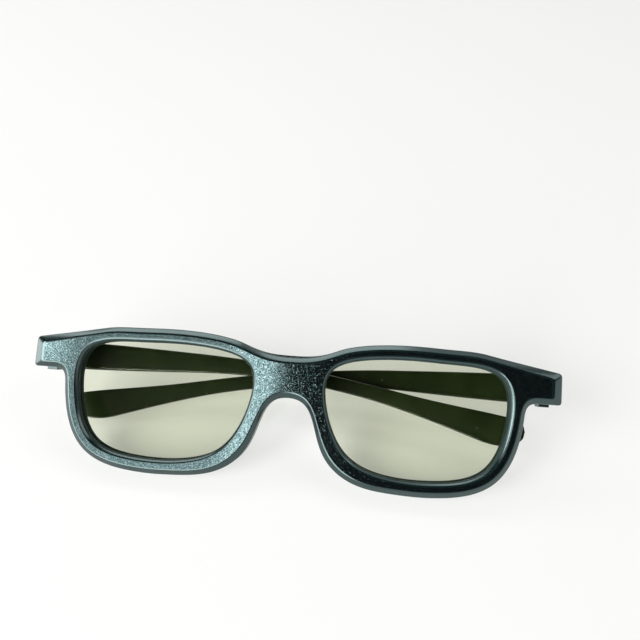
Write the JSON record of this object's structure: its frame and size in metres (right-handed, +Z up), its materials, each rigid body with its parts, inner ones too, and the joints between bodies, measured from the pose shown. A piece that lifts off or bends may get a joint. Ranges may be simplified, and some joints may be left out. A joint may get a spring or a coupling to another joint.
{
  "type": "3d glasses",
  "caption": "Moulded plastic 3D glasses with polarising film lenses, a front and a rear frame and hinged temples, lying folded on their temples.",
  "frame": {"origin": "on the floor under the middle of the object's box, as it lies folded", "axes": "+X to the viewer's right, which is the wearer's left; +Y from the front towards the temples; +Z up"},
  "size_m": [0.1464, 0.0358, 0.0262],
  "materials": {
    "frame": "fine spark-eroded texture with a slight sparkle",
    "temple": "satin moulded",
    "retarder": "clear polished film",
    "polariser": "grey-green tinted film",
    "pin": "drawn wire"
  },
  "bodies": {
    "front": {"front_frame": "frame", "rear_frame": "frame", "left_retarder": "retarder", "left_polariser": "polariser", "right_retarder": "retarder", "right_polariser": "polariser", "left_pin": "pin", "right_pin": "pin"},
    "left_arm": {"left_temple": "temple"},
    "right_arm": {"right_temple": "temple"}
  },
  "joints": [
    {"name": "left_temple_fold", "type": "hinge", "parent": "front", "child": "left_arm", "pos_m": [0.0694, 0.01002, 0.01652], "axis": [0, -0.8104, -0.5859], "range_deg": [0, 89.2]},
    {"name": "right_temple_fold", "type": "hinge", "parent": "front", "child": "right_arm", "pos_m": [-0.0694, 0.01002, 0.01652], "axis": [0, 0.8104, 0.5859], "range_deg": [0, 91.4]}
  ]
}
